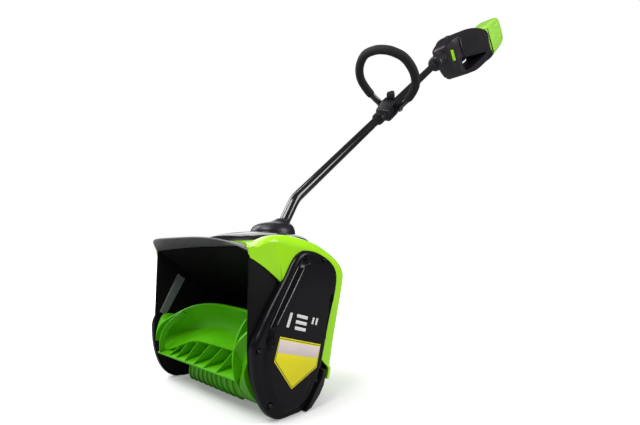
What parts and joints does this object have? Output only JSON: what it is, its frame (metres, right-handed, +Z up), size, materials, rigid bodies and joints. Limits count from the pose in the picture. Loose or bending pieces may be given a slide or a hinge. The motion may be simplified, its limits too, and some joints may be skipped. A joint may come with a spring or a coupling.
{
  "type": "snow blower",
  "caption": "Battery snow shovel: a paddle rotor in a scoop head on a bent tube, with a tilting loop handle and a D-shaped rear grip that holds a slide-out battery.",
  "frame": {"origin": "middle of the scraper bar's underside, on the ground", "axes": "+X to the machine's left, +Y to its rear (towards the user), +Z up"},
  "size_m": [0.36, 1.7004, 1.426],
  "materials": {
    "black_plastic": "moulded black, fine texture, satin",
    "gloss_black": "glossy black",
    "grey_plastic": "moulded dark grey, satin",
    "lime_plastic": "glossy lime green",
    "rotor_green": "moulded green, satin",
    "foam": "soft black foam",
    "steel": "bare steel",
    "black_steel": "gloss black powder coat",
    "belt_rubber": "matt black rubber",
    "copper": "bright contacts",
    "board_green": "circuit board green",
    "nylon": "moulded nylon, satin"
  },
  "bodies": {
    "machine": {"scoop_shell": "black_plastic", "neck_collar": "black_plastic", "side_cover_left": "black_plastic", "side_cover_right": "black_plastic", "skid_left": "black_plastic", "skid_right": "black_plastic", "splice_ring": "black_plastic", "rear_collar": "black_plastic", "power_switch": "black_plastic", "grip_housing_left": "black_plastic", "grip_housing_right": "black_plastic", "clamp_upper": "black_plastic", "clamp_lower": "black_plastic", "chute_lip": "grey_plastic", "wall_strip_left": "grey_plastic", "wall_strip_right": "grey_plastic", "scraper_bar": "steel", "cross_member": "steel", "motor_can": "steel", "idler_stud": "steel", "axle_bearing_left": "steel", "axle_bearing_right": "steel", "collar_screw": "steel", "trigger_pin": "steel", "trigger_spring": "steel", "cover_screw_left_1": "steel", "cover_screw_left_2": "steel", "cover_screw_left_3": "steel", "cover_screw_left_4": "steel", "cover_screw_right_1": "steel", "cover_screw_right_2": "steel", "cover_screw_right_3": "steel", "cover_screw_right_4": "steel", "shroud": "lime_plastic", "accent_bar_left": "lime_plastic", "accent_bar_right": "lime_plastic", "motor_hood": "gloss_black", "flank_panel_left": "gloss_black", "flank_panel_right": "gloss_black", "lower_tube": "black_steel", "upper_tube": "black_steel", "drive_belt": "belt_rubber", "control_board": "board_green", "terminal_block": "copper"},
    "rotor_body": {"rotor": "rotor_green", "rotor_axle": "steel", "rotor_pulley": "steel"},
    "motor_rotor": {"motor_shaft": "steel"},
    "idler": {"idler_pulley": "grey_plastic"},
    "loop": {"loop_tube": "nylon", "loop_grip": "foam", "loop_bolt_left": "steel", "loop_bolt_right": "steel"},
    "knob": {"clamp_knob": "black_plastic"},
    "trigger_lever": {"trigger": "black_plastic"},
    "lock_off": {"lock_button": "black_plastic"},
    "battery": {"battery_pack": "lime_plastic"},
    "latch": {"battery_latch": "black_plastic"}
  },
  "joints": [
    {"name": "rotor_spin", "type": "hinge", "parent": "machine", "child": "rotor_body", "pos_m": [0, -0.027, 0.0895], "axis": [1, 0, 0], "continuous": true},
    {"name": "motor_spin", "type": "hinge", "parent": "machine", "child": "motor_rotor", "pos_m": [0, 0.011, 0.231], "axis": [1, 0, 0], "continuous": true},
    {"name": "idler_spin", "type": "hinge", "parent": "machine", "child": "idler", "pos_m": [0, -0.03405, 0.18385], "axis": [1, 0, 0], "continuous": true},
    {"name": "loop_tilt", "type": "hinge", "parent": "machine", "child": "loop", "pos_m": [0, 0.5372, 0.71074], "axis": [0.9239, 0.2413, -0.297], "range_deg": [-30, 25]},
    {"name": "knob_turn", "type": "hinge", "parent": "machine", "child": "knob", "pos_m": [0, 0.54186, 0.71452], "axis": [0.3827, -0.5827, 0.717], "continuous": true},
    {"name": "trigger_pull", "type": "hinge", "parent": "machine", "child": "trigger_lever", "pos_m": [0, 1.12448, 1.11069], "axis": [-1, 0, 0], "range_deg": [0, 5], "stiffness_Nm_per_rad": 2, "springref_deg": -11.46},
    {"name": "lock_off_press", "type": "slide", "parent": "machine", "child": "lock_off", "axis": [0, 0.6307, -0.776], "range_m": [0, 0.004], "stiffness_N_per_m": 400, "springref_m": -0.003},
    {"name": "battery_slide", "type": "slide", "parent": "machine", "child": "battery", "axis": [0, 0.776, 0.6307], "range_m": [0, 0.075]},
    {"name": "latch_press", "type": "slide", "parent": "battery", "child": "latch", "axis": [0, -0.6307, 0.776], "range_m": [0, 0.0025], "stiffness_N_per_m": 400, "springref_m": -0.003}
  ],
  "couplings": [
    {"joint": "motor_spin", "follows": "rotor_spin", "ratio": 4},
    {"joint": "idler_spin", "follows": "rotor_spin", "ratio": -4.8}
  ]
}
